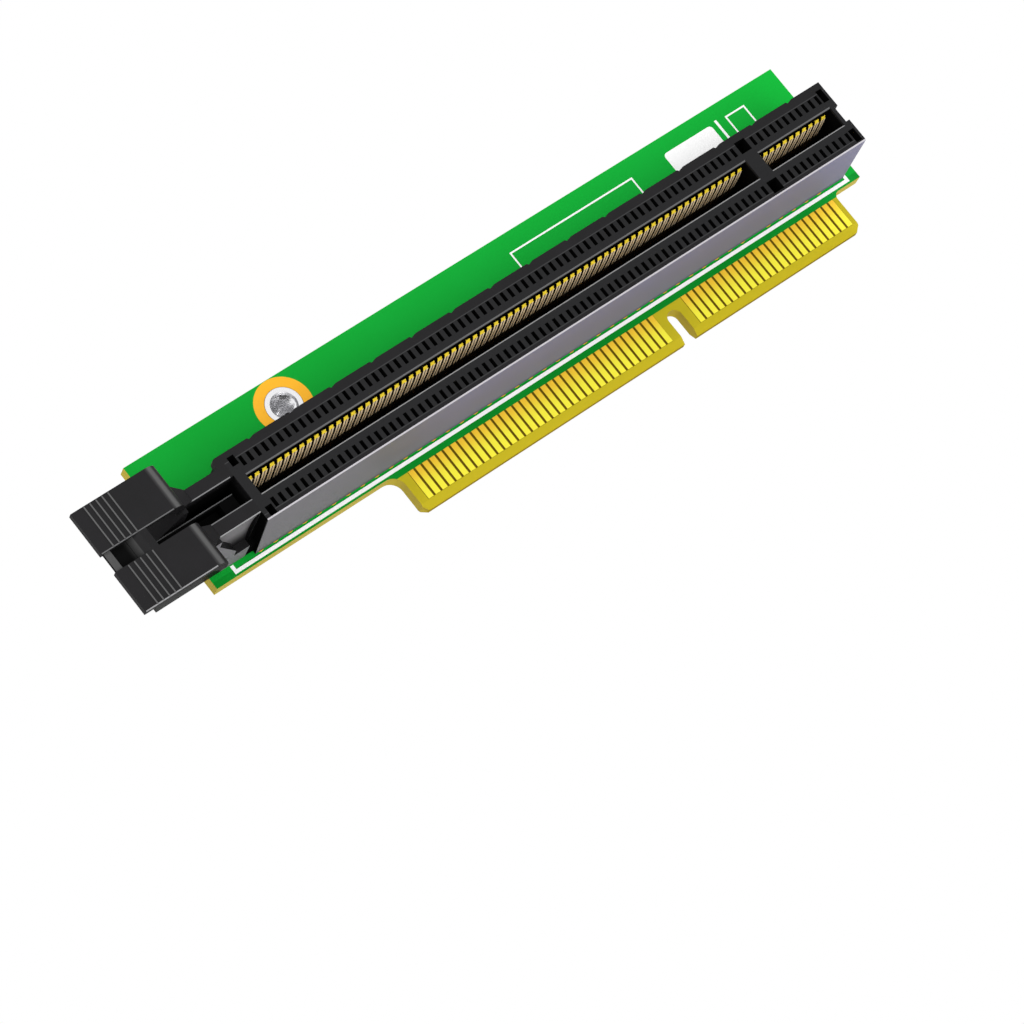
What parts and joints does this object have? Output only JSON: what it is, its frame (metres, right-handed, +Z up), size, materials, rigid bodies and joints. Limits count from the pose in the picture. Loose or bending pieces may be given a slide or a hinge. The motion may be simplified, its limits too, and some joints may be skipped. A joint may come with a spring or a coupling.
{
  "type": "pcie riser card",
  "caption": "Narrow riser board with a notched card edge below, a full-length expansion slot with an end latch on one face, and a threaded standoff behind.",
  "frame": {"origin": "centre of the key notch at the card edge's lower end, halfway through the board", "axes": "+X along the card edge towards the end away from the latch, +Y through the board towards the standoff, +Z up from the card edge"},
  "size_m": [0.108, 0.0218, 0.0216],
  "materials": {
    "solder_mask_board": "satin green solder mask",
    "gold_plating": "bright gold plating",
    "contact_spring": "gold-tipped copper alloy",
    "solder": "shiny tin solder",
    "housing_plastic": "black moulded plastic, fine satin",
    "latch_plastic": "black moulded plastic, fine satin",
    "plated_standoff": "bright turned and plated metal",
    "white_print": "white board print"
  },
  "bodies": {
    "card": {"circuit_board": "solder_mask_board", "front_fingers_long_block": "gold_plating", "front_fingers_short_block": "gold_plating", "back_fingers_long_block": "gold_plating", "back_fingers_short_block": "gold_plating", "key_peg_slot_lining": "gold_plating", "latch_peg_slot_lining": "gold_plating", "standoff_pad_front": "gold_plating", "standoff_pad_back": "gold_plating", "upper_contacts_long_group": "contact_spring", "upper_contacts_short_group": "contact_spring", "lower_contacts_long_group": "contact_spring", "lower_contacts_short_group": "contact_spring", "solder_joints_upper_outer": "solder", "solder_joints_upper_inner": "solder", "solder_joints_lower_inner": "solder", "solder_joints_lower_outer": "solder", "slot_housing": "housing_plastic", "threaded_standoff": "plated_standoff", "printed_outline": "white_print"},
    "latch": {"retention_latch": "latch_plastic"}
  },
  "joints": [
    {"name": "latch_hinge", "type": "hinge", "parent": "card", "child": "latch", "pos_m": [-0.068, -0.0034, 0.01005], "axis": [0, 0, -1], "range_deg": [0, 15]}
  ]
}
